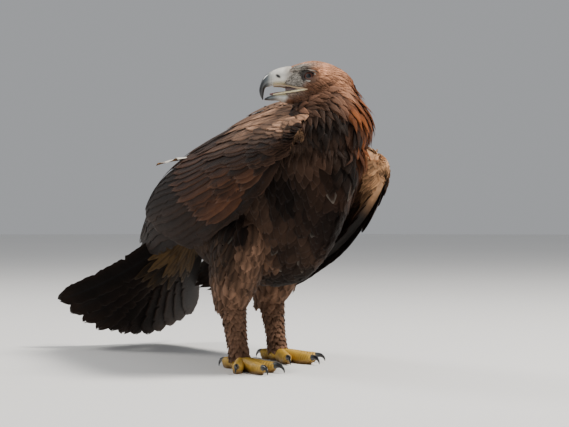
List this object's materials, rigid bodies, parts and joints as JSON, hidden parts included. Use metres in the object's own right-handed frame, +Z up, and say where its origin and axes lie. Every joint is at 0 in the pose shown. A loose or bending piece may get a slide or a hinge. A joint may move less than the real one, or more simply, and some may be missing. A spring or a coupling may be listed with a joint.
{
  "type": "golden eagle",
  "caption": "Life-size golden eagle standing still on both feet, head turned over its right shoulder with the bill open, wings folded low and tail fanned behind.",
  "frame": {"origin": "on the floor under the centre of the whole bird's bounding box", "axes": "+Z up, -Y the way the breast faces, -X the bird's own right side; the head is turned to the right"},
  "size_m": [0.2578, 0.6524, 0.4221],
  "materials": {
    "body_plumage": "matt very dark brown feathers",
    "nape_plumage": "matt rufous and golden brown feathers",
    "flight_feathers": "satin dark brown vanes with paler edges",
    "leg_plumage": "matt brown feathers",
    "toe_skin": "yellow scaled skin",
    "cere_skin": "pale yellow smooth skin",
    "horn": "polished blue-black horn",
    "eye": "wet clear dark brown",
    "tongue": "moist greyish pink"
  },
  "bodies": {
    "root": {"torso": "body_plumage", "neck": "nape_plumage", "head": "nape_plumage", "cere": "cere_skin", "bill_upper": "horn", "bill_lower": "horn", "tongue": "tongue", "eye_right": "eye", "eye_left": "eye", "wing_right": "flight_feathers", "wing_left": "flight_feathers", "tail": "flight_feathers", "claw_hind_left": "horn", "claw_hind_right": "horn", "claw_inner_left": "horn", "claw_inner_right": "horn", "claw_middle_left": "horn", "claw_middle_right": "horn", "claw_outer_left": "horn", "claw_outer_right": "horn", "foot_left": "toe_skin", "foot_right": "toe_skin", "shank_left": "leg_plumage", "shank_right": "leg_plumage", "thigh_left": "leg_plumage", "thigh_right": "leg_plumage"}
  },
  "joints": []
}
